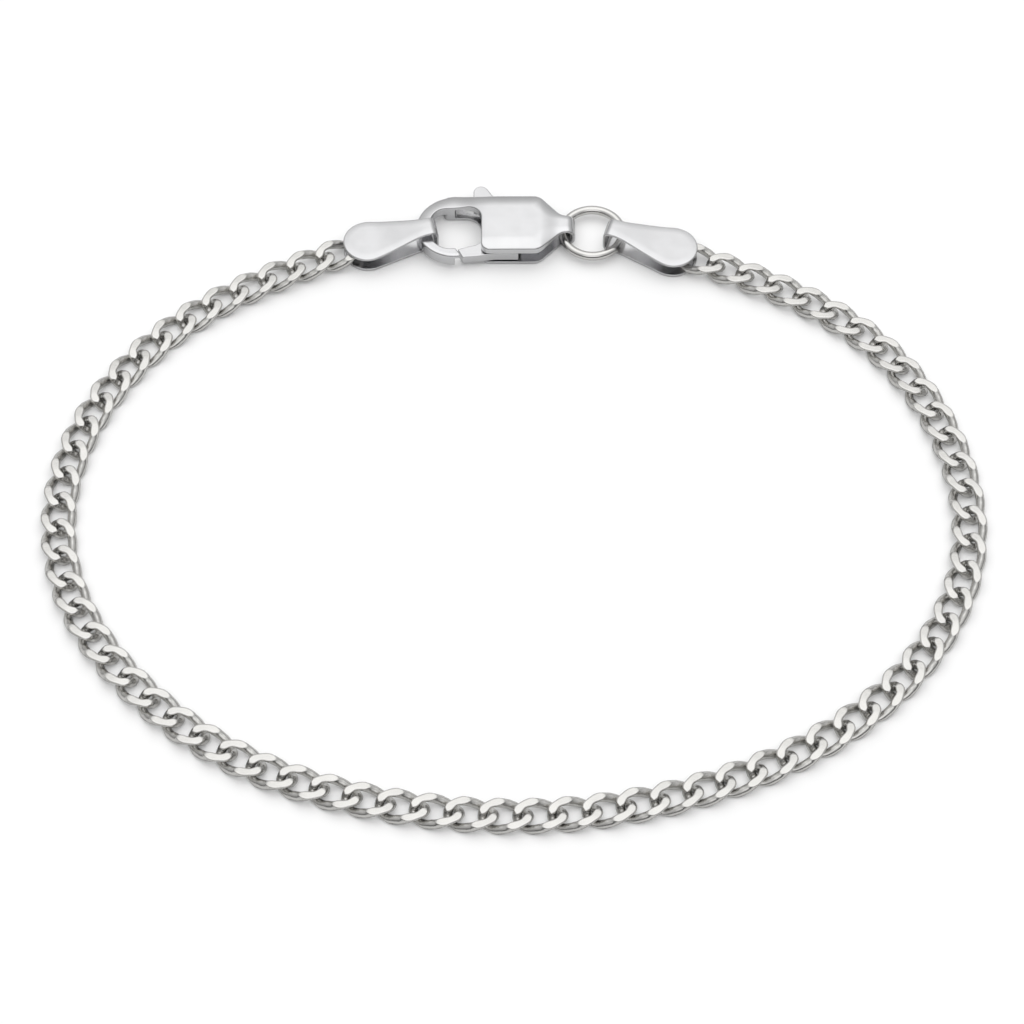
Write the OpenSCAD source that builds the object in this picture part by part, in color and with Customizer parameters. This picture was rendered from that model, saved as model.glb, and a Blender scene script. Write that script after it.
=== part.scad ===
// Link bracelet: a flattened curb chain laid in a loop on a flat surface and closed by a lever clasp.
// Millimetres. +X runs along the clasp from its hook to the jump ring, +Y is the clasp's side of the
// loop and +Z is up. The surface is z = 0 and the origin is under the middle of the whole bracelet.

/* [Chain] */
// Number of links in the chain
link_count = 67; // [61:2:75]
// Thickness of a link's wire before its faces are flattened
wire_d = 0.64; // [0.58:0.02:0.66]
// Length of the hole in a link
hole_l = 2.44; // [2.42:0.02:2.6]
// Width of the hole in a link
hole_w = 1.24; // [1.2:0.02:1.4]
// Slack between one link and the next along the chain
link_play = 0.16; // [0.14:0.01:0.2]
// Room between two wires where one passes over the other
pass_gap = 0.2; // [0.18:0.02:0.3]
// Depth taken off the top and off the bottom of a link to make it flat
face_cut = 0.34; // [0.2:0.02:0.36]

/* [Tabs] */
// Length of a folded tab from its fold to its round end
tab_l = 6.95; // [6.5:0.05:8]
// Width of a tab at its round end
tab_w = 3.6; // [3.2:0.1:4]
// Width of a tab at its fold
tab_neck_w = 1.56; // [1.2:0.02:1.8]
// Length of the straight neck beside the fold
tab_neck_l = 1.2; // [0.8:0.1:1.6]
// Thickness of the folded sheet
sheet_t = 0.2; // [0.16:0.01:0.24]
// Height of the fold over its outside
fold_h = 2.05; // [2:0.05:2.4]
// Outside radius of the fold's corners
fold_r = 0.55; // [0.4:0.05:0.6]
// Room above and below the end link between the two sheets
tab_gap = 0.07; // [0.05:0.01:0.12]
// Diameter of the post the end link hangs on
post_d = 0.44; // [0.36:0.02:0.5]
// Distance from a tab's round end to its post
post_inset = 0.5; // [0.45:0.05:0.8]
// Room between the post and the end link's wire
post_gap = 0.1; // [0.08:0.01:0.14]

/* [Clasp] */
// Width of the clasp's body
clasp_w = 5.04; // [4.8:0.02:5.4]
// Distance from the middle of the hook to the end of the clasp's tail
clasp_l = 8.85; // [8.7:0.05:9.4]
// Outside radius of the hook
hook_r = 2.9; // [2.76:0.02:2.94]
// Height of the hook's underside above the surface
hook_lift = 0.4; // [0.3:0.01:0.46]
// Height of the hook's upper face
hook_top = 1.45; // [1.4:0.05:1.6]
// Width of the chamfer round the hook's outer edges
hook_chamfer = 0.16; // [0.1:0.02:0.24]
// Gap between the hook's tip and the lever
tip_gap = 0.22; // [0.16:0.02:0.4]
// Thickness of the clasp's bottom plate
plate_t = 0.25; // [0.2:0.01:0.26]
// Height of the shell's lower rim along the sides
rim_z = 1.2; // [1.1:0.01:1.25]
// Height of the shell's top
shell_z = 1.95; // [1.85:0.01:2.05]
// Width of the rounding along the shell's long upper edges
shell_round = 0.9; // [0.6:0.05:1]
// Height of that rounding
shell_drop = 0.36; // [0.34:0.01:0.45]
// Wall thickness of the shell
shell_t = 0.28; // [0.24:0.01:0.3]
// Width of the clasp's tail
tail_w = 1.56; // [1.4:0.02:1.8]
// Height of the tail
tail_z = 1.7; // [1.6:0.02:1.8]

/* [Lever] */
// Thickness of the lever
lever_t = 0.75; // [0.6:0.01:0.79]
// Diameter of the pin the lever turns on
pin_d = 0.6; // [0.5:0.02:0.7]
// Room between the pin and the lever's hole, all round
pin_gap = 0.03; // [0.02:0.01:0.05]
// Distance of the gate's outer end beyond the clasp's side
gate_out = 0.22; // [0.1:0.02:0.26]
// Distance of the thumb tab's peak beyond the clasp's side
thumb_out = 1.45; // [1.2:0.05:1.8]
// Radius of the thumb tab's round corner
thumb_r = 0.55; // [0.45:0.05:0.6]

/* [Jump ring] */
// Outside diameter of the jump ring
ring_od = 5; // [4.8:0.02:5.1]
// Wire thickness of the jump ring
ring_wire = 0.64; // [0.56:0.02:0.64]
// Room between the jump ring and the clasp's bottom plate
ring_gap = 0.1; // [0.1:0.01:0.14]

/* [Hidden] */

// Colours
silver = [0.80, 0.80, 0.82];
bright_silver = [0.88, 0.88, 0.90];
dark_silver = [0.68, 0.68, 0.71];

// Smoothness of the round parts, and overlap of parts that are joined
round_fn = 96;
eps = 0.02;

// Link: half axes of its wire's centre line, height of its twist, and flattened thickness
link_a = (hole_l + wire_d) / 2;
link_b = (hole_w + wire_d) / 2;
link_c = (wire_d + pass_gap) / 2;
link_r = wire_d / 2;
link_h = 2 * (link_c + link_r - face_cut);
link_pitch = hole_l - link_play;
link_steps = 16;
section_steps = 6;

// Tab: inside height over the end link, where the upper sheet leaves the fold and where it levels out,
// and distance of the post from the middle line, towards the inside of the loop
mouth_h = link_h + 2 * tab_gap + 2 * sheet_t;
slope_from = fold_r + 0.35;
slope_to = tab_l - 2.55;
post_side = 0.1;

// Corners the chain bends round, from the right tab clockwise to the left tab
route = [
    [23.1, 16.5], [29, 9.8], [32.1, 0.5], [31.2, -8.8], [24.7, -17.9], [14.5, -23.7], [1.5, -26.6],
    [-12.5, -24.5], [-22, -19.8], [-29.8, -11.3], [-32.3, -2], [-30.2, 7.6], [-23.4, 16.5]
];
loop_mid = [0, -1.5];
// Number of links over which the chain rises from the surface to a tab
lift_links = 6;
lift_h = sheet_t + tab_gap;

// Hook: middle of its outside circle, the sides and corner radii of its hole, and its slanted tip
hook_mid = [0.05, -0.07];
hole_left = -1.76;
hole_right = 1.93;
hole_near = -2.2;
hole_far = 1.57;
hole_r = 1.15;
hole_near_r = 1.5;
edge_cut = 0.25;
tip_in = [0.07, -2.2];
tip_turn = -64;

// Clasp body: start of the plate and of the side slots, end of the hook's far arm, near left corner,
// and the tail's shoulders, neck and fold
arm_from = -0.9;
slot_x = 0;
arm_to = 1.4;
corner_r = 0.62;
shoulder_r = 1;
neck_x = clasp_l - 0.57;
shoulder_x = neck_x - 2.51;
tail_r = 0.7;

// Lever: height of its underside, middle of its pin and middle of the thumb tab's round corner
lever_z = plate_t + (rim_z - plate_t - lever_t) / 2;
pin_at = [3.3, -1.4];
pin_top = shell_z - shell_t;
thumb_mid = [1.9, clasp_w / 2 + thumb_out - thumb_r];

// Jump ring: radius of its wire's centre line and height of its middle
ring_r = (ring_od - ring_wire) / 2;
ring_z = plate_t + ring_gap + ring_wire / 2;

// Where the pieces lie: the middle of the hook, the jump ring in the clasp's tail with room at the fold,
// and the fold and the direction of each tab, hung on the ring and on the hook
clasp_at = [-4.3, 23.3];
tail_gap = 0.35;
ring_at = clasp_at + [clasp_l - plate_t - tail_gap - ring_wire / 2 + ring_r, -0.13];
ring_side_gap = 0.65;
tab_right_turn = -16.5;
tab_right_at = ring_at + turned([ring_r - ring_wire / 2 - ring_side_gap - sheet_t, -0.07], tab_right_turn);
hook_side_gap = 0.2;
tab_left_turn = 191;
tab_left_at = clasp_at + turned([-hole_left - hook_side_gap - sheet_t, 0.14], tab_left_turn);

function unit(v) = v / norm(v);
function turned(v, a) = [v.x * cos(a) - v.y * sin(a), v.x * sin(a) + v.y * cos(a)];

// Where the middle of a tab's post is on the surface. side is 1 or -1
function post_at(at, turn, side) = at + turned([tab_l - post_inset, side * post_side], turn);
post_right = post_at(tab_right_at, tab_right_turn, -1);
post_left = post_at(tab_left_at, tab_left_turn, 1);

// Smooth curve through the two posts that bends round the route's corners
function bent(p) = let (
    n = len(p),
    q = concat([2 * p[0] - p[1]], p, [2 * p[n - 1] - p[n - 2]])
) concat([for (i = [0 : n - 2], k = [0 : 23]) let (t = k / 24) (
    pow(1 - t, 3) * q[i] + (3 * pow(t, 3) - 6 * t * t + 4) * q[i + 1]
    + (3 * t + 3 * t * t - 3 * pow(t, 3) + 1) * q[i + 2] + pow(t, 3) * q[i + 3]) / 6], [p[n - 1]]);
function widened(s) = bent(concat([post_right], [for (p = route) loop_mid + s * (p - loop_mid)], [post_left]));
function distances(p) = [for (i = 0, d = 0; i < len(p);
    d = d + (i + 1 < len(p) ? norm(p[i + 1] - p[i]) : 0), i = i + 1) d];
function total(p) = let (d = distances(p)) d[len(d) - 1];

// The curve is widened until the chain fills it from post to post
end_reach = hole_l / 2 - post_d / 2 - post_gap;
chain_l = (link_count - 1) * link_pitch + 2 * end_reach;
function fitted(s, times) = times == 0 ? s : fitted(s * chain_l / total(widened(s)), times - 1);
lay = widened(fitted(1, 6));
lay_d = distances(lay);
lay_x = [for (i = [0 : len(lay) - 1]) [lay_d[i], lay[i].x]];
lay_y = [for (i = [0 : len(lay) - 1]) [lay_d[i], lay[i].y]];

// Height of the chain's middle at a distance along it, flat on the surface but for the two ends
lift_run = lift_links * link_pitch;
function rise(u) = u <= 0 ? 0 : u >= 1 ? 1 : u * u * (3 - 2 * u);
function height(d) = link_h / 2 + lift_h * rise(1 - (min(d, chain_l - d) - end_reach) / lift_run);
function along(d) = [lookup(d, lay_x), lookup(d, lay_y), height(d)];

// One ring of points round a link's wire at the angle t, in the link's own frame
function link_ring(t) = let (
    middle = [link_a * cos(t), link_b * sin(t), -link_c * sin(2 * t)],
    dir = unit([-link_a * sin(t), link_b * cos(t), -2 * link_c * cos(2 * t)]),
    out = unit([dir.y, -dir.x, 0]),
    side = cross(out, dir),
    up = side.z < 0 ? -side : side,
    full = link_r * sin(60),
    top = min(full, (link_h / 2 - middle.z) / up.z),
    low = min(full, (link_h / 2 + middle.z) / up.z),
    mid = (top - low) / 2
) [for (s = [[1, top], [-1, top], [-1, mid], [-1, -low], [1, -low], [1, mid]])
    middle + s[0] * sqrt(link_r * link_r - s[1] * s[1]) * out + s[1] * up];

// One link round its middle, lying along a direction
module link(middle, dir) {
    x = unit(dir);
    y = unit(cross([0, 0, 1], x));
    z = cross(x, y);
    points = [for (i = [0 : link_steps - 1], p = link_ring(360 * i / link_steps))
        middle + p.x * x + p.y * y + p.z * z];
    n = section_steps;
    faces = [for (i = [0 : link_steps - 1], j = [0 : n - 1]) let (
        a = i * n, b = ((i + 1) % link_steps) * n, k = (j + 1) % n
    ) each [[a + j, a + k, b + k], [a + j, b + k, b + j]]];
    polyhedron(points, faces, convexity = 6);
}

// The links from number first to number last, counted from the right tab
module chain(first, last) {
    half = hole_l / 2;
    for (i = [first : last]) {
        d = end_reach + i * link_pitch;
        link(along(d), along(min(chain_l, d + half)) - along(max(0, d - half)));
    }
}

// Side view of the folded strip, or with an inset of the room inside it, x from the fold to the mouth
module strip_side(inset) {
    difference() {
        union() {
            translate([fold_r, inset])
                square([tab_l + inset - fold_r, fold_h - 2 * inset]);
            translate([inset, fold_r])
                square([tab_l - inset, fold_h - 2 * fold_r]);
            for (z = [fold_r, fold_h - fold_r])
                translate([fold_r, z])
                    circle(r = fold_r - inset, $fn = round_fn);
        }
        polygon([
            [slope_from, fold_h - inset], [slope_to, mouth_h - inset], [tab_l + 1, mouth_h - inset],
            [tab_l + 1, fold_h + 1], [slope_from, fold_h + 1]
        ]);
    }
}

// Plan of a tab: a straight neck that widens to a round end
module tab_plan() {
    r = tab_w / 2;
    middle = [tab_l - r, 0];
    corner = [tab_neck_l, tab_neck_w / 2];
    reach = corner - middle;
    touch = middle + r * turned(unit(reach), -acos(r / norm(reach)));
    translate([0, -tab_neck_w / 2])
        square([tab_neck_l + eps, tab_neck_w]);
    polygon([corner, touch, [touch.x, -touch.y], [corner.x, -corner.y]]);
    translate(middle)
        circle(r = r, $fn = round_fn);
}

// A tab with its post, fold at the origin and round end towards +X
module tab(side) {
    intersection() {
        linear_extrude(height = fold_h)
            tab_plan();
        difference() {
            rotate([90, 0, 0])
                linear_extrude(height = tab_w + 1, center = true)
                    strip_side(0);
            rotate([90, 0, 0])
                linear_extrude(height = tab_w + 2, center = true)
                    strip_side(sheet_t);
        }
    }
    translate([tab_l - post_inset, side * post_side, sheet_t / 2])
        cylinder(d = post_d, h = mouth_h - sheet_t, $fn = round_fn);
}

// Plan of the hole in the hook: round corners on the left and one on the far right
module hole_plan() {
    low = hole_near + hole_near_r;
    high = hole_far - hole_r;
    translate([hole_left + hole_near_r, low])
        circle(r = hole_near_r, $fn = round_fn);
    for (x = [hole_left + hole_r, hole_right - hole_r])
        translate([x, high])
            circle(r = hole_r, $fn = round_fn);
    translate([hole_left, low])
        square([hole_right - hole_left, high - low]);
    translate([hole_left + hole_near_r, hole_near])
        square([hole_right - hole_left - hole_near_r, high - hole_near]);
    translate([hole_left + hole_r, low])
        square([hole_right - hole_left - 2 * hole_r, hole_far - low]);
}

// Chamfer of the hole's lower left edge, which the left tab's fold passes round
module hole_edge() {
    c = edge_cut;
    low = hole_near + hole_near_r;
    high = hole_far - hole_r;
    for (p = [[low, hole_near_r], [high, hole_r]])
        translate([hole_left + p[1], p[0], hook_lift - eps])
            cylinder(r1 = p[1] + c + eps, r2 = p[1] - eps, h = c + 2 * eps, $fn = round_fn);
    translate([hole_left, high, hook_lift])
        rotate([90, 0, 0])
            linear_extrude(height = high - low)
                polygon([[-c - eps, -eps], [hole_r, -eps], [hole_r, c + eps], [eps, c + eps]]);
}

// The solid hook, cut off along a slant at its tip
module hook() {
    c = hook_chamfer;
    far = hook_r + 1;
    tip_dir = [cos(tip_turn), sin(tip_turn)];
    difference() {
        intersection() {
            translate(hook_mid)
                rotate_extrude($fn = round_fn)
                    polygon([
                        [0, hook_lift], [hook_r - c, hook_lift], [hook_r, hook_lift + c],
                        [hook_r, hook_top - c], [hook_r - c, hook_top], [0, hook_top]
                    ]);
            linear_extrude(height = hook_top + 1)
                polygon([
                    [-far, -far], tip_in + tip_dir * 2, tip_in - tip_dir,
                    [arm_to, 0], [arm_to, far], [-far, far]
                ]);
        }
        translate([0, 0, -eps])
            linear_extrude(height = hook_top + 1)
                hole_plan();
        hole_edge();
    }
}

// Plan of the clasp right of the hook: far arm, body, round shoulders that slant to the neck, and tail
module body_plan() {
    w = clasp_w / 2;
    near_x = hole_right + corner_r;
    translate([near_x, -w])
        square([shoulder_x - near_x, clasp_w]);
    translate([hole_right, corner_r - w])
        square([corner_r + eps, clasp_w - corner_r]);
    translate([near_x, corner_r - w])
        circle(r = corner_r, $fn = round_fn);
    translate([arm_from, 0])
        square([near_x - arm_from, w]);
    outer = [shoulder_x, w - shoulder_r];
    inner = [neck_x, tail_w / 2 + shoulder_r];
    span = inner - outer;
    dir = turned(unit(span), acos(2 * shoulder_r / norm(span)));
    touch = outer + shoulder_r * dir;
    leave = inner - shoulder_r * dir;
    polygon([
        [shoulder_x - eps, -outer.y], [touch.x, -touch.y], [leave.x, -leave.y],
        leave, touch, [shoulder_x - eps, outer.y]
    ]);
    for (s = [-1, 1])
        translate([outer.x, s * outer.y])
            circle(r = shoulder_r, $fn = round_fn);
    difference() {
        translate([leave.x - eps, -leave.y])
            square([neck_x - leave.x + eps, 2 * leave.y]);
        for (s = [-1, 1])
            translate([inner.x, s * inner.y])
                circle(r = shoulder_r, $fn = round_fn);
    }
    translate([shoulder_x, -tail_w / 2])
        square([clasp_l - shoulder_x, tail_w]);
}

// Side view of the body and its tail, x along the clasp
module body_side() {
    polygon([
        [arm_from, 0], [clasp_l - tail_r, 0], [clasp_l - tail_r, tail_z], [neck_x - 0.6, tail_z],
        [shoulder_x + 0.6, shell_z], [hole_right + 1, shell_z], [hole_right, shell_z - 0.06],
        [slot_x, hook_top + 0.05], [arm_from, hook_top]
    ]);
    translate([clasp_l - tail_r, tail_r])
        square([tail_r, tail_z - 2 * tail_r]);
    for (z = [tail_r, tail_z - tail_r])
        translate([clasp_l - tail_r, z])
            circle(r = tail_r, $fn = round_fn);
}

// Side view of the slot that is open along both sides and round the jump ring in the tail
module slot_side() {
    r = tail_r - plate_t;
    x = clasp_l - tail_r;
    top = tail_z - plate_t;
    polygon([
        [slot_x, plate_t], [x, plate_t], [x, top], [neck_x - 0.7, top],
        [shoulder_x + 0.1, rim_z], [slot_x, rim_z]
    ]);
    translate([neck_x - 0.5, plate_t + r])
        square([x + r - neck_x + 0.5, top - plate_t - 2 * r]);
    for (z = [plate_t + r, top - r])
        translate([x, z])
            circle(r = r, $fn = round_fn);
}

// End view of the pillow-shaped top, narrowed by the wall's thickness for the room inside
module pillow_end(wall) {
    w = clasp_w / 2 - wall;
    z = shell_z - wall;
    wide = shell_round - wall;
    deep = max(shell_drop - wall, 0.04);
    side = [for (a = [90 : -15 : 0]) [w - wide + wide * sin(a), z - deep + deep * cos(a)]];
    n = len(side);
    polygon(concat([[w, -1]], side, [for (i = [n - 1 : -1 : 0]) [-side[i].x, side[i].y]], [[-w, -1]]));
}

// The clasp without its lever: hook, bottom plate, shell and tail in one piece
module clasp() {
    long = clasp_l - arm_from + 1;
    difference() {
        union() {
            hook();
            intersection() {
                linear_extrude(height = shell_z + 1)
                    difference() {
                        body_plan();
                        hole_plan();
                    }
                rotate([90, 0, 0])
                    linear_extrude(height = clasp_w + 2, center = true)
                        body_side();
                translate([arm_from - 0.5, 0, 0])
                    rotate([90, 0, 90])
                        linear_extrude(height = long)
                            pillow_end(0);
                // The far arm keeps to the hook's round outline
                union() {
                    translate([hook_mid.x, -clasp_w, -1])
                        cube([long, 2 * clasp_w, shell_z + 3]);
                    translate([hook_mid.x, hook_mid.y, -1])
                        cylinder(r = hook_r, h = shell_z + 3, $fn = round_fn);
                }
            }
        }
        rotate([90, 0, 0])
            linear_extrude(height = 2 * clasp_w, center = true)
                slot_side();
        // Room inside the shell
        intersection() {
            translate([0, 0, rim_z - 0.1])
                linear_extrude(height = shell_z)
                    polygon([
                        [hole_right + 0.3, clasp_w / 2], [hole_right + 0.3, corner_r - clasp_w / 2],
                        [hole_right + corner_r, shell_t - clasp_w / 2], [shoulder_x, -clasp_w / 2],
                        [neck_x - 0.9, -tail_w / 3], [neck_x - 0.9, tail_w / 3], [shoulder_x, clasp_w / 2]
                    ]);
            rotate([90, 0, 90])
                linear_extrude(height = neck_x - 0.9)
                    pillow_end(shell_t);
        }
    }
}

// Plan of the lever: gate at the near left, boss round the pin, arm across, thumb tab beyond the far side
module lever_plan() {
    w = clasp_w / 2;
    dir = [cos(tip_turn), sin(tip_turn)];
    shift = [tip_gap / sin(-tip_turn), 0];
    near_y = 0.08 - w;
    gate_in = tip_in + shift - 0.22 * dir;
    out_y = -w - gate_out;
    gate_end = tip_in + shift + dir * (out_y - tip_in.y) / dir.y;
    base = [pin_at.x - 0.25, w + 0.1];
    reach = base - thumb_mid;
    touch = thumb_mid + thumb_r * turned(unit(reach), acos(thumb_r / norm(reach)));
    polygon([
        gate_in, gate_end, [gate_end.x + 1.1, out_y + 0.1], [pin_at.x - 0.4, near_y],
        [pin_at.x + 1.35, near_y], [pin_at.x + 1.6, near_y + 0.5],
        [pin_at.x + 1.3, pin_at.y + 0.5], [pin_at.x + 0.35, pin_at.y + 1.8],
        [pin_at.x - 0.3, pin_at.y + 3.2], base, touch, thumb_mid,
        [thumb_mid.x - thumb_r, thumb_mid.y], [thumb_mid.x - thumb_r, w + 0.12],
        [hole_right + 0.3, w + 0.12], [hole_right + 0.22, hole_far - 0.1],
        [hole_right + 0.19, pin_at.y + 0.9], [hole_right + 0.08, pin_at.y + 0.16],
        [hole_right - 0.36, pin_at.y - 0.18], [hole_right - 0.9, pin_at.y - 0.32]
    ]);
    translate(thumb_mid)
        circle(r = thumb_r, $fn = round_fn);
}

// The chain's right half
module chain_right() {
    color(silver)
        chain(0, floor(link_count / 2));
}

// The chain's left half
module chain_left() {
    color(silver)
        chain(floor(link_count / 2) + 1, link_count - 1);
}

// The tab on the jump ring
module tab_right() {
    color(bright_silver)
        translate(tab_right_at)
            rotate([0, 0, tab_right_turn])
                tab(-1);
}

// The tab on the clasp's hook
module tab_left() {
    color(bright_silver)
        translate(tab_left_at)
            rotate([0, 0, tab_left_turn])
                tab(1);
}

// Hook, plate, shell and tail of the clasp
module clasp_body() {
    color(bright_silver)
        translate(clasp_at)
            clasp();
}

// The lever that closes the hook
module clasp_lever() {
    color(silver)
        translate(clasp_at)
            difference() {
                translate([0, 0, lever_z])
                    linear_extrude(height = lever_t)
                        lever_plan();
                translate([pin_at.x, pin_at.y, lever_z - 1])
                    cylinder(d = pin_d + 2 * pin_gap, h = lever_t + 2, $fn = round_fn);
            }
}

// The pin the lever turns on, from the bottom plate to the shell
module lever_pin() {
    color(dark_silver)
        translate(clasp_at)
            translate([pin_at.x, pin_at.y, plate_t])
                cylinder(d = pin_d, h = pin_top - plate_t, $fn = round_fn);
}

// The round ring between the clasp's tail and the right tab
module jump_ring() {
    color(silver)
        translate([ring_at.x, ring_at.y, ring_z])
            rotate_extrude($fn = round_fn)
                translate([ring_r, 0])
                    circle(d = ring_wire, $fn = round_fn);
}

chain_right();
chain_left();
tab_right();
tab_left();
clasp_body();
clasp_lever();
lever_pin();
jump_ring();
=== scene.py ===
# A silver link bracelet on a pale surface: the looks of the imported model, in the model's frame.
# Sizes and places are in millimetres, and finished() turns the points of a piece into metres.
import math

import bpy
import numpy as np
from mathutils import Euler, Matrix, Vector


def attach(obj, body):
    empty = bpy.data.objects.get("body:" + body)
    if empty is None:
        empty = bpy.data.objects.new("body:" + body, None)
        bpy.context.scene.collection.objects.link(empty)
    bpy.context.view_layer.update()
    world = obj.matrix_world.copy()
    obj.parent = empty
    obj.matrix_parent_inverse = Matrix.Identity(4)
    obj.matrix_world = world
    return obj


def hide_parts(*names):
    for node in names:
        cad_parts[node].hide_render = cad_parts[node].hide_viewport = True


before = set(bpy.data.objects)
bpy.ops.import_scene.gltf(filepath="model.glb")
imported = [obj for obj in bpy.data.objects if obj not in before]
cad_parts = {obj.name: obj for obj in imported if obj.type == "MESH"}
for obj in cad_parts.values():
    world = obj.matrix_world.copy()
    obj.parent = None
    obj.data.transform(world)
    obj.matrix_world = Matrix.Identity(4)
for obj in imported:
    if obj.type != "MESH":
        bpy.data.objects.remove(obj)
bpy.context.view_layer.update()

MM = 0.001
TINY = 1e-12

# Links: half axes of the wire's middle line and half the hole's length, height of the wire's twist
# and how sharply it peaks, height over the ground faces, their dome and their edges' rounding
LINKS, PITCH = 67, 2.28
WIRE_R = 0.32
LINK_A, LINK_B, HALF_HOLE = 1.54, 0.94, 1.22
LINK_TWIST, TWIST_PEAK = 0.45, 1.3
LINK_H, FACE_DOME, FACE_EDGE_R = 0.88, 0.06, 0.11
# Steps round a link, round each edge of its wire and down the wire's side
LINK_STEPS, EDGE_STEPS, SIDE_STEPS = 60, 5, 5

# Tabs: length and width, the neck at the fold, the sheet, the fold and the mouth it closes to, the
# upper leaf's slope and gentle dome, and the post that the chain's end link hangs on
TAB_L, TAB_W = 6.95, 3.6
TAB_NECK_W, TAB_NECK_L = 1.56, 1.2
SHEET, SHEET_EDGE_R = 0.2, 0.085
FOLD_H, FOLD_R, MOUTH_H = 2.05, 0.55, 1.34
SLOPE_FROM, SLOPE_TO = 0.9, 4.4
TAB_DOME, TAB_DOME_W = 0.05, 0.6
POST_R, POST_INSET, POST_SIDE = 0.22, 0.5, 0.1

# Hook: its round outline, its underside and upper face, and the left, right, near and far sides of
# its hole with the radii of the corners
CLASP_AT = np.array([-4.3, 23.3])
HOOK_MID, HOOK_R = (0.05, -0.07), 2.9
HOOK_LIFT, HOOK_TOP = 0.4, 1.45
HOOK_EDGE_R, HOOK_CROWN_W, HOOK_CROWN_H = 0.1, 0.3, 0.06
HOLE = (-1.76, 1.93, -2.2, 1.57)
HOLE_R, HOLE_NEAR_R, HOLE_SHARP_R, HOLE_EDGE_R = 1.15, 1.5, 0.02, 0.09
# Chamfer of the hole's lower left edge, which the left tab's fold passes round, at 45 degrees
CUT, CUT_FROM, CUT_TO, CUT_EDGE_R, DIAGONAL = 0.27, 0.3, -0.7, 0.05, 0.7071
TIP_IN, TIP_TURN, TIP_GAP = np.array([0.07, -2.2]), math.radians(-64), 0.22
TIP_EDGE_R = 0.06

# Clasp body: plate, rim over the side slots, shell and the crown of its face, the corner beside
# the hole, the start of the plate and of the slots and the end of the hook's far arm
CLASP_L, CLASP_W = 8.85, 5.04
PLATE, RIM, SHELL_Z, SHELL_T = 0.25, 1.2, 1.95, 0.28
CROWN_W, CROWN_H, SHELL_EDGE_R = 1.1, 0.2, 0.2
CORNER_R = 0.62
ARM_FROM, SLOT_X, ARM_TO = -0.9, 0.0, 2.3
SLOT_END_R, SLOT_EDGE_R = 0.1, 0.045
# Shoulders and tail in plan, and where the upper face rises to the shell and drops to the tail
SHOULDER_R, SHOULDER_X, NECK_X = 1.0, 5.77, 8.28
TAIL_W, TAIL_Z, TAIL_R = 1.56, 1.7, 0.7
RISE_FROM, RISE_TO, RISE_SOFT = 0.2, 2.0, 0.7
DROP_FROM, DROP_TO = 6.2, 7.8

# Lever: its underside, the pin it turns on, the gate's reach beyond the body and the thumb tab
LEVER_Z, LEVER_T, LEVER_EDGE_R = 0.35, 0.75, 0.07
PIN_AT, PIN_R, PIN_GAP = np.array([3.3, -1.4]), 0.3, 0.03
GATE_OUT = 0.22
THUMB_MID, THUMB_R = np.array([1.9, 3.42]), 0.55

# Jump ring: radius of its wire's middle line, radius of the wire and height of its middle
RING_AT, RING_R, RING_WIRE_R, RING_Z = np.array([5.81, 23.17]), 2.18, 0.32, 0.67

# Corners the chain bends round, from the right tab clockwise to the left tab, the reach of an end
# link to its post, the rise of the ends from the surface to the tabs, and how far links sway
ROUTE = np.array([
    (23.1, 16.5), (29, 9.8), (32.1, 0.5), (31.2, -8.8), (24.7, -17.9), (14.5, -23.7), (1.5, -26.6),
    (-12.5, -24.5), (-22, -19.8), (-29.8, -11.3), (-32.3, -2), (-30.2, 7.6), (-23.4, 16.5),
])
LOOP_MID = np.array([0, -1.5])
ROUTE_STEPS = 24
END_REACH = 0.9
CHAIN_L = (LINKS - 1) * PITCH + 2 * END_REACH
LIFT_H, LIFT_RUN = MOUTH_H / 2 - LINK_H / 2, 6 * PITCH
LINK_SWAY = np.radians([1.2, 0.4, 0.8])

# Silver: scales of the cloudy polish, of the duller spots and of the hairline scratches, the
# stretch, turn and depth (metres) of the scratches, and the openness below which painted shade
# darkens recesses
CLOUDS, SPOTS, HAIRS = 260, 900, 3
SPOT_TONE, SPOT_EDGES = 0.94, (0.3, 0.65)
HAIR_STRETCH, HAIR_TURN, HAIR_DEPTH = (400, 2600, 900), (0, 0, 0.4), 0.00002
OPENNESS = {"From Min": 0.35, "From Max": 0.9}

# Light: brightness of the sky from the horizon to overhead, the sky's lean towards the back,
# the dark room at the viewer's side, and the soft fill above the viewer
SKY = [
    (0.0, 0.08), (0.15, 0.17), (0.3, 0.36), (0.45, 0.46), (0.6, 0.52), (0.744, 0.65),
    (0.857, 0.93), (0.937, 1.15), (0.982, 1.2),
]
SKY_LEAN = 0.25
ROOM = {"From Min": -0.99, "From Max": -0.82, "To Min": 0.25, "To Max": 1.0}
FILL_FROM = (0, -0.8, 0.6)
FILL = {"From Min": 0.86, "From Max": 0.98, "To Min": 1.0, "To Max": 2.1}
LAMP_STRENGTH, LAMP_WIDTH, LAMP_TILT = 1.2, math.radians(100), math.radians(-14)

# Stage and camera, in metres
FLOOR_REACH, FLOOR_Z, MIRRORED_Z, DOME_R = 2.0, -0.00003, -0.00005, 1.9
ELEVATION, DISTANCE, FIELD_OF_VIEW = math.radians(55.5), 0.2426, math.radians(16.76)
TARGET = Vector((-0.0001, -0.0013, 0))
SENSOR, CLIP = 36, (0.01, 10)


def turned(v, a):
    c, s = math.cos(a), math.sin(a)
    return np.array([v[0] * c - v[1] * s, v[0] * s + v[1] * c])


def unit(v):
    return v / np.linalg.norm(v)


def heading(v):
    return math.atan2(v[1], v[0])


def on_circle(mid, r, a):
    return mid + r * np.array([math.cos(a), math.sin(a)])


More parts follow.
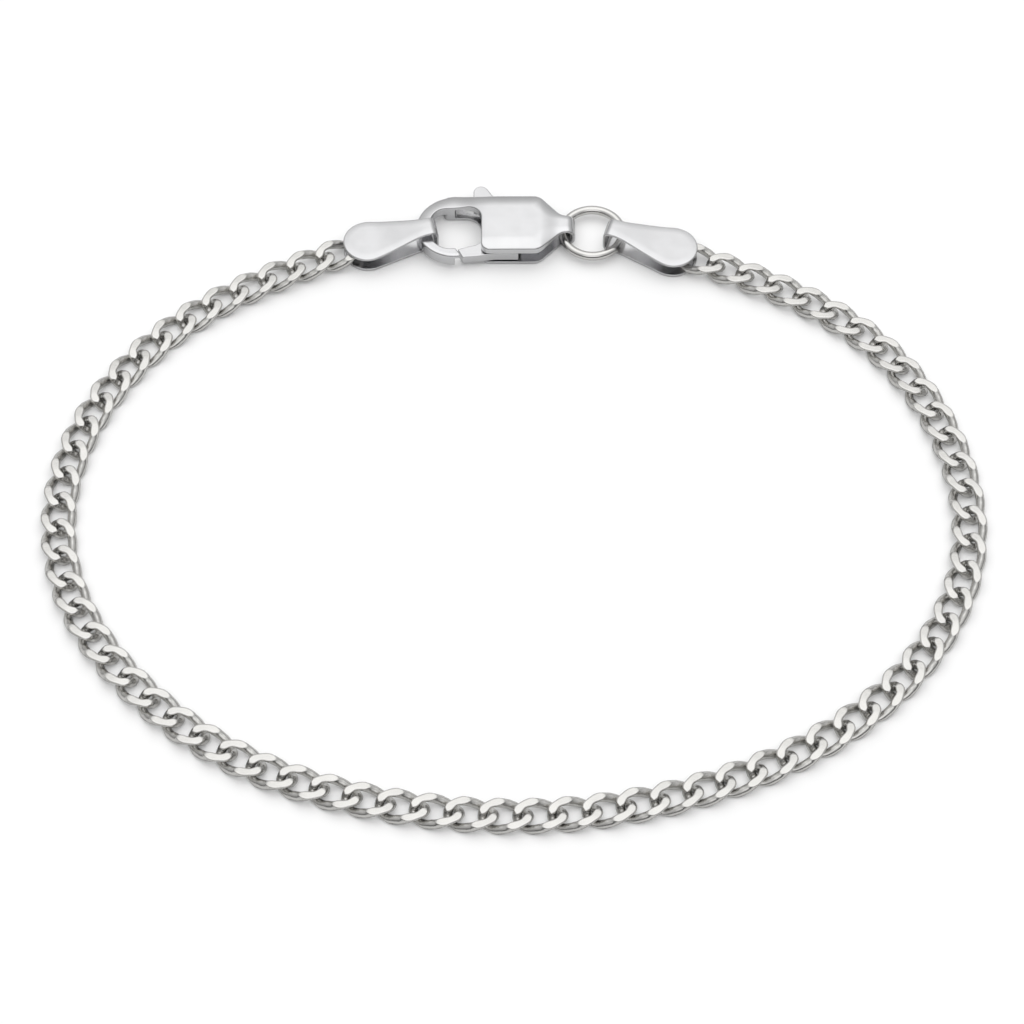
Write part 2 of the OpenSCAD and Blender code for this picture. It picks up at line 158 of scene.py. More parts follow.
# The tabs hang on the jump ring and on the hook, with room between wire and fold
RIGHT_TURN, RIGHT_GAP, RIGHT_ASIDE = math.radians(-16.5), 0.65, -0.07
LEFT_TURN, LEFT_GAP, LEFT_ASIDE = math.radians(191), 0.2, 0.14
TAB_RIGHT_AT = RING_AT + turned((RING_R - RING_WIRE_R - RIGHT_GAP - SHEET, RIGHT_ASIDE), RIGHT_TURN)
TAB_LEFT_AT = CLASP_AT + turned((-HOLE[0] - LEFT_GAP - SHEET, LEFT_ASIDE), LEFT_TURN)


# Meshes
def mesh_object(name, verts, faces, material):
    mesh = bpy.data.meshes.new(name)
    mesh.from_pydata(verts, [], faces)
    mesh.update()
    mesh.shade_smooth()
    mesh.materials.append(material)
    made = bpy.data.objects.new(name, mesh)
    bpy.context.scene.collection.objects.link(made)
    return made


def finished(name, verts, faces, normals, body, nodes, material):
    """A mesh of points in millimetres as a piece that stands for its CAD nodes."""
    piece = mesh_object(name, (verts * MM).tolist(), faces.tolist(), material)
    if normals is not None:
        piece.data.normals_split_custom_set_from_vertices(normals.tolist())
    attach(piece, body)
    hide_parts(*nodes)


def tube_faces(rows, across, closed=True):
    """Quads between rows of points, each row a closed ring. The last row may join the first."""
    i, j = np.meshgrid(np.arange(rows if closed else rows - 1), np.arange(across), indexing="ij")
    near, far, beside = i * across, (i + 1) % rows * across, (j + 1) % across
    return np.stack([near + j, far + j, far + beside, near + beside], -1).reshape(-1, 4)


def smooth(a, b, x):
    t = np.clip((x - a) / (b - a), 0, 1)
    return t * t * (3 - 2 * t)


def ramp(x, soft):
    """Zero below zero and x above it, with a bend that is soft mm wide."""
    return (x + np.sqrt(x * x + soft * soft)) / 2


def box_corner(qx, qy):
    """Signed distance from a square corner, from the distances from its two sides."""
    return np.minimum(np.maximum(qx, qy), 0) + np.hypot(np.maximum(qx, 0), np.maximum(qy, 0))


def meet(a, b, r):
    """Intersection of two signed distances with a round edge of radius r."""
    return box_corner(a + r, b + r) - r


def join(a, b, r):
    """Union of two signed distances with a round inner edge of radius r."""
    return -meet(-a, -b, r)


def outline_distance(x, y, outline):
    """Signed distance from points to a closed outline, negative inside."""
    best, inside = np.inf, False
    for a, b in zip(outline, np.roll(outline, -1, axis=0)):
        ex, ey = b - a
        wx, wy = x - a[0], y - a[1]
        t = np.clip((wx * ex + wy * ey) / (ex * ex + ey * ey), 0, 1)
        best = np.minimum(best, (wx - t * ex) ** 2 + (wy - t * ey) ** 2)
        level = ey if abs(ey) > TINY else TINY
        inside = inside ^ (((a[1] > y) != (b[1] > y)) & (x < ex * (y - a[1]) / level + a[0]))
    return np.where(inside, -1.0, 1.0) * np.sqrt(best)


def gradient(f, p, h=0.004):
    g = np.empty_like(p)
    for i in range(3):
        a, b = p.copy(), p.copy()
        a[:, i] += h
        b[:, i] -= h
        g[:, i] = (f(*a.T) - f(*b.T)) / (2 * h)
    return g


def cells_cut(value, cells):
    """Middle of the points where the surface cuts the edges of each cell, in cells."""
    points, count = np.zeros((len(cells), 3)), np.zeros(len(cells))
    for axis in range(3):
        step = np.eye(3, dtype=int)[axis]
        for j, k in np.ndindex(2, 2):
            start = np.insert((j, k), axis, 0)
            p0, p1 = cells + start, cells + start + step
            v0, v1 = value[tuple(p0.T)], value[tuple(p1.T)]
            hit = (v0 < 0) != (v1 < 0)
            t = np.where(hit, v0 / np.where(hit, v0 - v1, 1), 0)
            points += np.where(hit[:, None], p0 + t[:, None] * step, 0)
            count += hit
    return points / count[:, None]


def quads_across(axis, inside, index):
    """Quads round the grid edges along an axis that run through the surface."""
    u, v = [a for a in range(3) if a != axis]
    low, high = [slice(1, -1)] * 3, [slice(1, -1)] * 3
    low[axis], high[axis] = slice(0, -1), slice(1, None)
    at = np.argwhere(inside[tuple(low)] != inside[tuple(high)])
    at[:, [u, v]] += 1
    du, dv = np.eye(3, dtype=int)[[u, v]]
    quad = np.stack([index[tuple((at - o).T)] for o in (du + dv, dv, 0 * du, du)], axis=1)
    flipped = inside[tuple(at.T)] == (axis == 1)
    quad[flipped] = quad[flipped][:, ::-1]
    return quad


def skin(f, low, high, cell, passes=4, flattest=0.05, longest=0.5, least=1e-9):
    """Points, quads and normals of the surface where f is zero."""
    low, high = np.array(low, float), np.array(high, float)
    n = np.ceil((high - low) / cell).astype(int) + 1
    axes = [low[i] + cell * np.arange(n[i]) for i in range(3)]
    value = f(*np.meshgrid(*axes, indexing="ij", sparse=True))
    inside = value < 0
    corners = sum(inside[i : n[0] - 1 + i, j : n[1] - 1 + j, k : n[2] - 1 + k].astype(int)
                  for i, j, k in np.ndindex(2, 2, 2))
    active = (corners > 0) & (corners < 8)
    index = np.full(active.shape, -1)
    index[active] = np.arange(active.sum())
    points = low + cell * cells_cut(value, np.argwhere(active))
    faces = np.concatenate([quads_across(axis, inside, index) for axis in range(3)])
    for _ in range(passes):
        g = gradient(f, points)
        size = np.maximum((g * g).sum(1), flattest)
        move = -(f(*points.T) / size)[:, None] * g
        length = np.linalg.norm(move, axis=1, keepdims=True)
        points += move * np.minimum(1, longest * cell / np.maximum(length, least))
    g = gradient(f, points)
    return points, faces, g / np.maximum(np.linalg.norm(g, axis=1, keepdims=True), least)


def placed(points, at, turn):
    """Points of a piece's own frame laid in the bracelet's frame."""
    c, s = math.cos(turn), math.sin(turn)
    x, y = points[:, 0], points[:, 1]
    return np.stack([at[0] + x * c - y * s, at[1] + x * s + y * c, points[:, 2]], axis=1)


def rounded(corners, step=0.12):
    """A closed outline with each corner (x, y, radius) rounded in steps of that angle."""
    points = []
    for i, (x, y, r) in enumerate(corners):
        p = np.array([x, y])
        if r <= 0:
            points.append(p)
            continue
        a = unit(np.array(corners[i - 1][:2]) - p)
        b = unit(np.array(corners[(i + 1) % len(corners)][:2]) - p)
        half = math.acos(np.clip(a @ b, -1, 1)) / 2
        mid = p + unit(a + b) * r / math.sin(half)
        first, last = (heading(p + side * r / math.tan(half) - mid) for side in (a, b))
        sweep = (last - first + math.pi) % (2 * math.pi) - math.pi
        for t in np.linspace(0, 1, max(3, int(abs(sweep) / step))):
            points.append(on_circle(mid, r, first + t * sweep))
    return np.array(points)


# Materials
def fill_in(node, values):
    for key, value in values.items():
        node.inputs[key].default_value = value


def add_node(tree, kind, values, sources, **settings):
    """A shader node with its settings, its inputs' values and the outputs that feed the others."""
    node = tree.nodes.new("ShaderNode" + kind)
    for key, value in settings.items():
        setattr(node, key, value)
    fill_in(node, values)
    for key, source in sources.items():
        tree.links.new(source, node.inputs[key])
    return node


def metal(name, base, rough, rough_spread, bump, scale, depth, darkest_shade):
    """Silver with cloudy roughness, an uneven tone, painted shade in its recesses and hairline
    scratches.
    """
    m = bpy.data.materials.new(name)
    m.use_nodes = True
    tree = m.node_tree
    place = add_node(tree, "TexCoord", {}, {}).outputs["Object"]
    clouds = add_node(tree, "TexNoise", {"Scale": CLOUDS * scale, "Detail": 5}, {"Vector": place})
    polish = add_node(tree, "MapRange",
                      {"To Min": rough - rough_spread, "To Max": rough + rough_spread},
                      {"Value": clouds.outputs["Fac"]})
    spots = add_node(tree, "TexNoise", {"Scale": SPOTS * scale, "Detail": 6}, {"Vector": place})
    tone = add_node(tree, "ValToRGB", {}, {"Fac": spots.outputs["Fac"]})
    dull = [c * SPOT_TONE for c in base]
    for stop, at, colour in zip(tone.color_ramp.elements, SPOT_EDGES, (dull, base)):
        stop.position, stop.color = at, (*colour, 1)
    # Painted shade: the colour is darkened where the piece's own surfaces close in round a point,
    # down to the darkest factor
    recess = add_node(tree, "AmbientOcclusion", {"Distance": depth * MM}, {},
                      samples=1, only_local=True)
    openness = add_node(tree, "MapRange", {**OPENNESS, "To Min": darkest_shade, "To Max": 1.0},
                        {"Value": recess.outputs["AO"]})
    painted_recess_shade = add_node(tree, "VectorMath", {},
                       {0: tone.outputs["Color"], "Scale": openness.outputs["Result"]},
                       operation="SCALE")
    stretched = add_node(tree, "Mapping", {"Scale": HAIR_STRETCH, "Rotation": HAIR_TURN},
                         {"Vector": place})
    hairs = add_node(tree, "TexNoise", {"Scale": HAIRS * scale, "Detail": 8},
                     {"Vector": stretched.outputs["Vector"]})
    scratches = add_node(tree, "Bump", {"Strength": bump, "Distance": HAIR_DEPTH},
                         {"Height": hairs.outputs["Fac"]})
    shader = tree.nodes["Principled BSDF"]
    shader.inputs["Metallic"].default_value = 1.0
    tree.links.new(polish.outputs["Result"], shader.inputs["Roughness"])
    tree.links.new(painted_recess_shade.outputs["Vector"], shader.inputs["Base Color"])
    tree.links.new(scratches.outputs["Normal"], shader.inputs["Normal"])
    return m


# depth and the darkest factor set how far and how deeply painted shade darkens each piece's
# recesses
CHAIN = metal("chain_silver", (0.79, 0.78, 0.755), rough=0.24, rough_spread=0.07, bump=0.25,
              scale=1.0, depth=0.35, darkest_shade=0.7)
TAB = metal("tab_silver", (0.78, 0.78, 0.79), rough=0.22, rough_spread=0.05, bump=0.12,
            scale=0.7, depth=1.2, darkest_shade=0.1)
CLASP = metal("clasp_silver", (0.80, 0.80, 0.81), rough=0.16, rough_spread=0.04, bump=0.08,
              scale=0.6, depth=1.3, darkest_shade=0.05)
RING = metal("ring_silver", (0.82, 0.81, 0.79), rough=0.14, rough_spread=0.03, bump=0.06,
             scale=0.9, depth=0.8, darkest_shade=0.2)


# Chain
def post_at(at, turn, side):
    """Where the middle of a tab's post is in plan."""
    return at + turned((TAB_L - POST_INSET, side * POST_SIDE), turn)


def bent(p):
    """A smooth curve from the first point to the last that bends round the others."""
    q = np.vstack([2 * p[0] - p[1], p, 2 * p[-1] - p[-2]])
    t = (np.arange(ROUTE_STEPS) / ROUTE_STEPS)[:, None]
    out = []
    for i in range(len(p) - 1):
        out.append(((1 - t) ** 3 * q[i] + (3 * t**3 - 6 * t * t + 4) * q[i + 1]
                    + (3 * t + 3 * t * t - 3 * t**3 + 1) * q[i + 2] + t**3 * q[i + 3]) / 6)
    return np.vstack(out + [p[-1:]])


def distances(p):
    """How far along the curve each of its points is."""
    return np.concatenate([[0], np.cumsum(np.linalg.norm(np.diff(p, axis=0), axis=1))])


def widened(s):
    """The curve from post to post with its corners moved out from the loop's middle."""
    first, last = post_at(TAB_RIGHT_AT, RIGHT_TURN, -1), post_at(TAB_LEFT_AT, LEFT_TURN, 1)
    return bent(np.vstack([first, LOOP_MID + s * (ROUTE - LOOP_MID), last]))


# The curve is widened until the chain fills it from post to post
spread = 1.0
for _ in range(6):
    spread *= CHAIN_L / distances(widened(spread))[-1]
LAY = widened(spread)
LAY_D = distances(LAY)


def along(d):
    """The chain's middle at a distance along it, level but for the rise to the tabs."""
    u = 1 - (min(d, CHAIN_L - d) - END_REACH) / LIFT_RUN
    return np.array([np.interp(d, LAY_D, LAY[:, 0]), np.interp(d, LAY_D, LAY[:, 1]),
                     LINK_H / 2 + LIFT_H * smooth(0, 1, u)])


def section(top, low, narrowest=0.0009, inner=0.75):
    """Half of the wire's section, out and up: a disc cut level at top and bottom, edges rounded."""
    inset = WIRE_R - FACE_EDGE_R
    mids = [(math.sqrt(max(inset**2 - h * h, narrowest)), h)
            for h in (top - FACE_EDGE_R, FACE_EDGE_R - low)]
    turn = [math.atan2(h, x) for x, h in mids]
    upper = [(mids[0], FACE_EDGE_R, a) for a in np.linspace(math.pi / 2, turn[0], EDGE_STEPS)]
    side = [((0, 0), WIRE_R, a) for a in np.linspace(turn[0], turn[1], SIDE_STEPS)[1:-1]]
    under = [(mids[1], FACE_EDGE_R, a) for a in np.linspace(turn[1], -math.pi / 2, EDGE_STEPS)]
    half = [(x + r * math.cos(a), h + r * math.sin(a)) for (x, h), r, a in upper + side + under]
    return np.array([(inner * half[0][0], half[0][1]), *half, (inner * half[-1][0], half[-1][1])])


def link_mesh(widest=math.radians(82)):
    """One link round the origin: a twisted oval of wire, its top and underside ground flat."""
    verts = []
    full = WIRE_R * math.sin(widest)
    for i in range(LINK_STEPS):
        t = 2 * math.pi * i / LINK_STEPS
        wave = math.sin(2 * t)
        mid = np.array([LINK_A * math.cos(t), LINK_B * math.sin(t),
                        -LINK_TWIST * math.copysign(abs(wave) ** TWIST_PEAK, wave)])
        steep = 2 * TWIST_PEAK * math.cos(2 * t) * abs(wave) ** (TWIST_PEAK - 1)
        d = unit(np.array([-LINK_A * math.sin(t), LINK_B * math.cos(t), -LINK_TWIST * steep]))
        out = unit(np.array([d[1], -d[0], 0]))
        up = np.cross(out, d)
        if up[2] < 0:
            up = -up
        face = LINK_H / 2 - FACE_DOME * math.cos(2 * t) ** 2
        half = section(min(full, (face - mid[2]) / up[2]), min(full, (face + mid[2]) / up[2]))
        for side, points in ((1, half), (-1, half[::-1])):
            verts += [mid + side * x * out + h * up for x, h in points]
    return np.array(verts), tube_faces(LINK_STEPS, len(verts) // LINK_STEPS)


LINK_VERTS, LINK_FACES = link_mesh()
SWAY = np.random.default_rng(7).uniform(-1, 1, (LINKS, 3)) * LINK_SWAY


def chain(name, first, last, node):
    """The links from number first to number last, counted from the right tab."""
    verts, faces = [], []
    for i in range(first, last + 1):
        d = END_REACH + i * PITCH
        x = unit(along(min(CHAIN_L, d + HALF_HOLE)) - along(max(0, d - HALF_HOLE)))
        y = unit(np.cross([0, 0, 1], x))
        sway = np.array(Euler(SWAY[i]).to_matrix())
        verts.append(along(d) + LINK_VERTS @ sway.T @ np.array([x, y, np.cross(x, y)]))
        faces.append(LINK_FACES + len(LINK_VERTS) * (i - first))
    finished(name, np.vstack(verts), np.vstack(faces), None, "bracelet", [node], CHAIN)


chain("links_right", 0, LINKS // 2, "chain_right")
chain("links_left", LINKS // 2 + 1, LINKS - 1, "chain_left")


# Tabs
def tab_outline(past_fold=-1.0, neck_bend=0.6, side_bend=0.2, bend_steps=16, round_steps=70):
    """A tab in plan, from past its fold: a neck that bends into slanted sides, and a round end."""
    r = TAB_W / 2
    mid = np.array([TAB_L - r, 0.0])
    corner = np.array([TAB_NECK_L, TAB_NECK_W / 2])
    reach = corner - mid
    size = np.linalg.norm(reach)
    touch = mid + r * turned(reach / size, -math.acos(r / size))
    start = np.array([corner[0] - neck_bend, corner[1]])
    end = corner + (touch - corner) * side_bend
    side = [np.array([past_fold, corner[1]])]
    for t in np.linspace(0, 1, bend_steps):
        side.append((1 - t) ** 2 * start + 2 * t * (1 - t) * corner + t * t * end)
    for a in np.linspace(heading(touch - mid), 0, round_steps):
        side.append(on_circle(mid, r, a))
    side = np.array(side)
    return np.vstack([side, side[:-1][::-1] * [1, -1]])


TAB_OUTLINE = tab_outline()


def tab_solid(side):
    """The folded strip round the fold at the origin, with its post. side is 1 or -1."""
    slope = (FOLD_H - MOUTH_H) / (SLOPE_TO - SLOPE_FROM)
    upper_soft, lower_soft, lean, post_foot_r = 0.5, 0.7, 0.8, 0.04

    def f(x, y, z):
        top = FOLD_H - slope * (ramp(x - SLOPE_FROM, upper_soft) - ramp(x - SLOPE_TO, lower_soft))
        plan = outline_distance(x, y, TAB_OUTLINE)
        dome = TAB_DOME * np.maximum(plan / TAB_DOME_W + 1, 0) ** 2
        upper = (z - top + dome) / math.hypot(1, slope * lean)
        outer = meet(meet(-x, -z, FOLD_R), upper, FOLD_R)
        strip = meet(np.abs(outer + SHEET / 2) - SHEET / 2, plan, SHEET_EDGE_R)
        post = np.hypot(x - TAB_L + POST_INSET, y - side * POST_SIDE) - POST_R
        post = np.maximum(post, np.abs(z - MOUTH_H / 2) - MOUTH_H / 2 + SHEET / 2)
        return join(strip, post, post_foot_r)
    return f


def tab(name, at, turn, side, node, cell=0.06, margin=0.12):
    low = (-margin, -TAB_W / 2 - margin, -margin)
    high = (TAB_L + margin, TAB_W / 2 + margin, FOLD_H + margin)
    verts, faces, normals = skin(tab_solid(side), low, high, cell)
    finished(name, placed(verts, at, turn), faces, placed(normals, (0, 0), turn),
             "bracelet", [node], TAB)


tab("end_tab_right", TAB_RIGHT_AT, RIGHT_TURN, -1, "tab_right")
tab("end_tab_left", TAB_LEFT_AT, LEFT_TURN, 1, "tab_left")


# Clasp
def top_height(x):
    """Height of the upper face: level on the hook, up to the shell, level, down to the tail."""
    rise = ramp(x - RISE_FROM, RISE_SOFT) - ramp(x - RISE_TO, RISE_SOFT)
    return (HOOK_TOP + (SHELL_Z - HOOK_TOP) * (rise / (RISE_TO - RISE_FROM))
            - (SHELL_Z - TAIL_Z) * smooth(DROP_FROM, DROP_TO, x))


def far_distance(x, y, ease=0.4):
    """Distance outside the hook's round outline and the straight far side that it eases into."""
    circle = np.hypot(x - HOOK_MID[0], y - HOOK_MID[1]) - HOOK_R
    top = HOOK_MID[1] + HOOK_R
    edge = top - (top - CLASP_W / 2) * smooth(HOOK_MID[0] - ease, ARM_TO, x)
    return np.where((x > HOOK_MID[0]) & (y > 0), y - edge, circle)


def side_distance(x, y):
    """Distance outside the long sides, the slanted shoulders and the tail in plan."""
    s = np.abs(y)
    w = CLASP_W / 2
    c1 = np.array([SHOULDER_X, w - SHOULDER_R])
    c2 = np.array([NECK_X, TAIL_W / 2 + SHOULDER_R])
    size = np.linalg.norm(c2 - c1)
    d = turned((c2 - c1) / size, math.acos(2 * SHOULDER_R / size))
    touch, leave = c1 + SHOULDER_R * d, c2 - SHOULDER_R * d
    run = (x - touch[0]) * d[1] - (s - touch[1]) * d[0]
    line = (x - touch[0]) * d[0] + (s - touch[1]) * d[1]
    out = np.where(run < 0, np.hypot(x - c1[0], s - c1[1]) - SHOULDER_R, line)
    inner = SHOULDER_R - np.hypot(x - c2[0], s - c2[1])
    out = np.where(run > np.linalg.norm(leave - touch), inner, out)
    out = np.where(x >= NECK_X, s - TAIL_W / 2, out)
    return np.where(x <= SHOULDER_X, s - w, out)


def hole_distance(x, y):
    """Signed distance to the hole in the hook, negative inside it."""
    left, right, near, far = HOLE
    cx, cy = (left + right) / 2, (near + far) / 2
    r = np.where(y > cy, HOLE_R, np.where(x < cx, HOLE_NEAR_R, HOLE_SHARP_R))
    qx = np.abs(x - cx) - (right - left) / 2 + r
    qy = np.abs(y - cy) - (far - near) / 2 + r
    return box_corner(qx, qy) - r


def notch_distance(x, y):
    """The hole as the body sees it: open towards the near side and the left."""
    return box_corner(x - HOLE[1] + HOLE_R, y - HOLE[3] + HOLE_R) - HOLE_R


def slot_distance(x, z, ease=0.6, lean=0.98):
    """The slot along both sides, and the room round the jump ring in the tail."""
    rim = RIM + (TAIL_Z - PLATE - RIM) * smooth(SHOULDER_X, NECK_X - ease, x)
    d = np.maximum(PLATE - z, (z - rim) * lean)
    d = meet(d, SLOT_X - x, SLOT_END_R)
    return meet(d, x - CLASP_L + PLATE, TAIL_R - PLATE)


def crowned(outer, z, top, wide, deep):
    """Distance above an upper face that falls off towards its outline."""
    u = np.maximum(outer / wide + 1, 0)
    return (z - top + deep * u * u) / np.hypot(1, 2 * deep * u / wide)


def hook_solid(x, y, z, outer, top):
    """The hook and the clasp's far arm. The arm's face is crowned more than the hook's."""
    arm_from, arm_full, near_side = -1.8, 1.2, -0.5
    far = smooth(arm_from, arm_full, y)
    hole = hole_distance(x, y)
    face = crowned(outer, z, top, HOOK_CROWN_W + (CROWN_W - HOOK_CROWN_W) * far,
                   HOOK_CROWN_H + (CROWN_H - HOOK_CROWN_H) * far)
    hook = meet(outer, face, HOOK_EDGE_R + (SHELL_EDGE_R - HOOK_EDGE_R) * far)
    hook = meet(hook, HOOK_LIFT - z, HOOK_EDGE_R)
    hook = meet(hook, -hole, HOLE_EDGE_R)
    cut = CUT * smooth(CUT_FROM, CUT_TO, x)
    hook = meet(hook, (cut - hole - (z - HOOK_LIFT)) * DIAGONAL, CUT_EDGE_R)
    tip = (x - TIP_IN[0]) * -math.sin(TIP_TURN) + (y - TIP_IN[1]) * math.cos(TIP_TURN)
    return meet(hook, np.where(y < near_side, tip, x - ARM_TO), TIP_EDGE_R)


def body_solid(x, y, z, outer, top):
    """The clasp's body: plate, pillow-shaped shell and tail, with the room inside for the lever."""
    tail_from, tail_full, tail_narrower, tail_flatter = 6.4, 8.0, 0.6, 0.12
    plate_edge_r, side_edge_r, arm_end_r = 0.06, 0.1, 0.4
    room_below_rim, room_left, room_right = 0.1, 0.3, 0.9
    sides = np.where((y > 0) & (x < ARM_TO), outer, side_distance(x, y))
    tail = smooth(tail_from, tail_full, x)
    face = crowned(sides, z, top, CROWN_W - tail_narrower * tail, CROWN_H - tail_flatter * tail)
    face = meet(face, x - CLASP_L, TAIL_R)
    plan = meet(sides, -notch_distance(x, y), CORNER_R)
    whole_height = meet(face, -z, np.where(x > CLASP_L - TAIL_R, TAIL_R, plate_edge_r))
    body = meet(meet(plan, whole_height, side_edge_r), ARM_FROM - x, arm_end_r)
    shell = meet(plan, face, SHELL_EDGE_R)
    room = np.maximum(shell + SHELL_T, RIM - room_below_rim - z)
    room = np.maximum(room, np.maximum(HOLE[1] + room_left - x, x - NECK_X + room_right))
    return np.maximum(body, -room)


def clasp_solid(x, y, z):
    top, outer = top_height(x), far_distance(x, y)
    clasp = np.minimum(hook_solid(x, y, z, outer, top), body_solid(x, y, z, outer, top))
    return meet(clasp, -slot_distance(x, z), SLOT_EDGE_R)


def lever_outline(near_inset=0.08, gate_inside=0.22, thumb_steps=40):
    """The lever in plan: the gate, the end round the pin, and the thumb tab on its far side."""
    d = np.array([math.cos(TIP_TURN), math.sin(TIP_TURN)])
    half = CLASP_W / 2
    near, out = near_inset - half, -half - GATE_OUT
    start = TIP_IN + [TIP_GAP / math.sin(-TIP_TURN), 0]
    gate_in = start - d * gate_inside
    gate_end = start + d * (out - TIP_IN[1]) / d[1]
    # Where the thumb tab's slanted side leaves the body, and where it meets the round corner
    base = np.array([PIN_AT[0] - 0.25, half + 0.1])
    reach = base - THUMB_MID
    size = np.linalg.norm(reach)
    touch = THUMB_MID + THUMB_R * turned(reach / size, math.acos(THUMB_R / size))
    px, py = PIN_AT
    right, far = HOLE[1], HOLE[3]
    # Corners as x, y and radius, from the gate along the near side, round the pin to the thumb tab
    corners = [
        (*gate_in, 0.08), (*gate_end, 0.06), (gate_end[0] + 1.1, out + 0.1, 1.5),
        (px - 0.4, near, 1.0), (px + 1.35, near, 0.1), (px + 1.6, near + 0.5, 0.2),
        (px + 1.3, py + 0.5, 0.3), (px + 0.35, py + 1.8, 1.2), (px - 0.3, py + 3.2, 0.6),
        (*base, 0.1),
    ]
    corners += [(*on_circle(THUMB_MID, THUMB_R, a), 0)
                for a in np.linspace(heading(touch - THUMB_MID), math.pi, thumb_steps)]
    # And back from the thumb tab along the hole to the gate
    corners += [
        (THUMB_MID[0] - THUMB_R, half + 0.12, 0.1), (right + 0.3, half + 0.12, 0.05),
        (right + 0.22, far - 0.1, 0.3), (right + 0.19, py + 0.9, 0.3),
        (right + 0.08, py + 0.16, 0.15), (right - 0.36, py - 0.18, 0.4),
        (right - 0.9, py - 0.32, 0.6),
    ]
    return rounded(corners)


LEVER_OUTLINE = lever_outline()


def lever_solid(x, y, z):
    flat = np.abs(z - LEVER_Z - LEVER_T / 2) - LEVER_T / 2
    lever = meet(outline_distance(x, y, LEVER_OUTLINE), flat, LEVER_EDGE_R)
    return np.maximum(lever, PIN_R + PIN_GAP - np.hypot(x - PIN_AT[0], y - PIN_AT[1]))


def clasp_piece(name, solid, low, high, body, node, cell=0.05):
    """A piece of the clasp from its solid and the corners of the box that holds it."""
    verts, faces, normals = skin(solid, low, high, cell)
    finished(name, placed(verts, CLASP_AT, 0), faces, normals, body, [node], CLASP)


clasp_piece("clasp_shell", clasp_solid, (-3.0, -3.1, -0.12), (9.0, 2.98, 2.1),
            "bracelet", "clasp_body")
clasp_piece("clasp_gate", lever_solid, (0.1, -2.9, 0.2), (5.0, 4.15, 1.25),
            "lever", "clasp_lever")

# The pin is the one CAD node that still shows
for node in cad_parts.values():
    node.data.materials.clear()
    node.data.materials.append(CLASP)


# Jump ring
def jump_ring(name, node, turns=192, sides=48):
    a = np.arange(turns) * 2 * math.pi / turns
    b = np.arange(sides) * 2 * math.pi / sides
    around, across = np.meshgrid(a, b, indexing="ij")
    r = RING_R + RING_WIRE_R * np.cos(across)
    verts = np.stack([RING_AT[0] + r * np.cos(around), RING_AT[1] + r * np.sin(around),
                      RING_Z + RING_WIRE_R * np.sin(across)], -1).reshape(-1, 3)
    finished(name, verts, tube_faces(turns, sides), None, "bracelet", [node], RING)


jump_ring("round_ring", "jump_ring")


# Stage
def plain(name, colour, rough, glow):
    """A dull material that may glow white a little."""
    m = bpy.data.materials.new(name)
    m.use_nodes = True
    fill_in(m.node_tree.nodes["Principled BSDF"], {
        "Base Color": (*colour, 1), "Roughness": rough, "Specular IOR Level": 0.1,
        "Emission Color": (1, 1, 1, 1), "Emission Strength": glow,
    })
    return m


def floor(name, z, material):
    size = FLOOR_REACH
    verts = [(-size, -size, z), (size, -size, z), (size, size, z), (-size, size, z)]
    made = mesh_object(name, verts, [(0, 1, 2, 3)], material)
    return made


def backdrop(name, material, rings=24, turns=64):
    """A pale half sphere behind the floor, which only the camera sees."""
    verts = [(0, 0, DOME_R)]
    for i in range(1, rings + 1):
        e = math.pi / 2 * (1 - i / rings)
        for j in range(turns):
            a = 2 * math.pi * j / turns
            verts.append((DOME_R * math.cos(e) * math.cos(a), DOME_R * math.cos(e) * math.sin(a),
                          DOME_R * math.sin(e)))
    faces = [(0, 1 + j, 1 + (j + 1) % turns) for j in range(turns)]
    faces += (1 + tube_faces(rings, turns, closed=False)).tolist()
    made = mesh_object(name, verts, faces, material)
    made.visible_diffuse = made.visible_glossy = False
    made.visible_transmission = made.visible_shadow = False


# The pale floor is for the camera, and the metal mirrors the greyer one under it
seen = floor("floor", FLOOR_Z, plain("floor_white", (0.85, 0.85, 0.85), rough=0.8, glow=0.1))
seen.visible_glossy = seen.visible_diffuse = seen.visible_shadow = False
mirrored = floor("floor_mirrored", MIRRORED_Z,
                 plain("floor_grey", (0.62, 0.62, 0.62), rough=0.8, glow=0.0))
mirrored.visible_camera = False
backdrop("backdrop", plain("backdrop_white", (0, 0, 0), rough=1.0, glow=0.98))


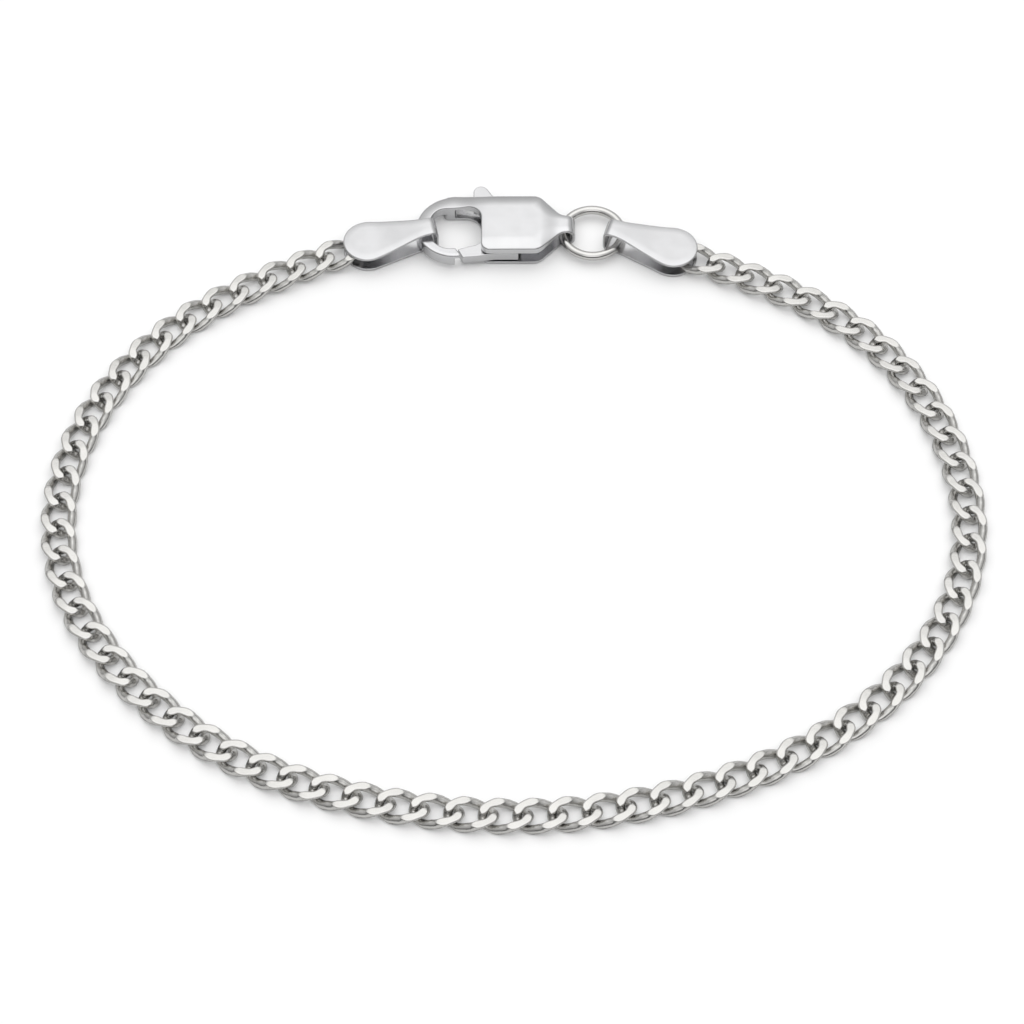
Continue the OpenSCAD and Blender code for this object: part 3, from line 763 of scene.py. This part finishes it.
# Light
def studio():
    """Soft light from above and behind that falls off to a dark room at the viewer's side."""
    world = bpy.data.worlds.new("studio")
    bpy.context.scene.world = world
    world.use_nodes = True
    tree = world.node_tree
    direction = add_node(tree, "TexCoord", {}, {}).outputs["Generated"]
    split = add_node(tree, "SeparateXYZ", {}, {"Vector": direction})
    lean = add_node(tree, "Math", {1: SKY_LEAN}, {0: split.outputs["Y"], 2: split.outputs["Z"]},
                    operation="MULTIPLY_ADD")
    height = add_node(tree, "MapRange", {"From Max": math.hypot(1, SKY_LEAN)},
                      {"Value": lean.outputs["Value"]})
    sky = add_node(tree, "ValToRGB", {}, {"Fac": height.outputs["Result"]})
    stops = sky.color_ramp.elements
    stops[0].position, stops[1].position = SKY[0][0], SKY[-1][0]
    for at, _ in SKY[1:-1]:
        stops.new(at)
    for stop, (_, value) in zip(stops, SKY):
        stop.color = (value, value, value, 1)
    room = add_node(tree, "MapRange", ROOM, {"Value": split.outputs["Y"]})
    towards = add_node(tree, "VectorMath", {1: FILL_FROM}, {0: direction}, operation="DOT_PRODUCT")
    fill = add_node(tree, "MapRange", FILL, {"Value": towards.outputs["Value"]},
                    interpolation_type="SMOOTHSTEP")
    strength = add_node(tree, "Math", {}, {0: room.outputs["Result"], 1: fill.outputs["Result"]},
                        operation="MULTIPLY")
    background = tree.nodes["Background"]
    tree.links.new(sky.outputs["Color"], background.inputs["Color"])
    tree.links.new(strength.outputs["Value"], background.inputs["Strength"])


def overhead():
    """A broad soft lamp for the floor and its shadows, which the metal doesn't mirror."""
    light = bpy.data.lights.new("overhead", "SUN")
    light.energy = LAMP_STRENGTH
    light.angle = LAMP_WIDTH
    lamp = bpy.data.objects.new("overhead", light)
    lamp.rotation_euler = (LAMP_TILT, 0, 0)
    lamp.visible_glossy = False
    bpy.context.scene.collection.objects.link(lamp)


studio()
overhead()

# Camera
back = Vector((0, -math.cos(ELEVATION), math.sin(ELEVATION)))
cam = bpy.data.cameras.new("camera")
cam.sensor_width = SENSOR
cam.lens = SENSOR / 2 / math.tan(FIELD_OF_VIEW / 2)
cam.clip_start, cam.clip_end = CLIP
camera = bpy.data.objects.new("camera", cam)
camera.location = TARGET + back * DISTANCE
camera.rotation_mode = "QUATERNION"
camera.rotation_quaternion = (-back).to_track_quat("-Z", "Y")
bpy.context.scene.collection.objects.link(camera)
bpy.context.scene.camera = camera
bpy.context.scene.view_settings.view_transform = "Standard"
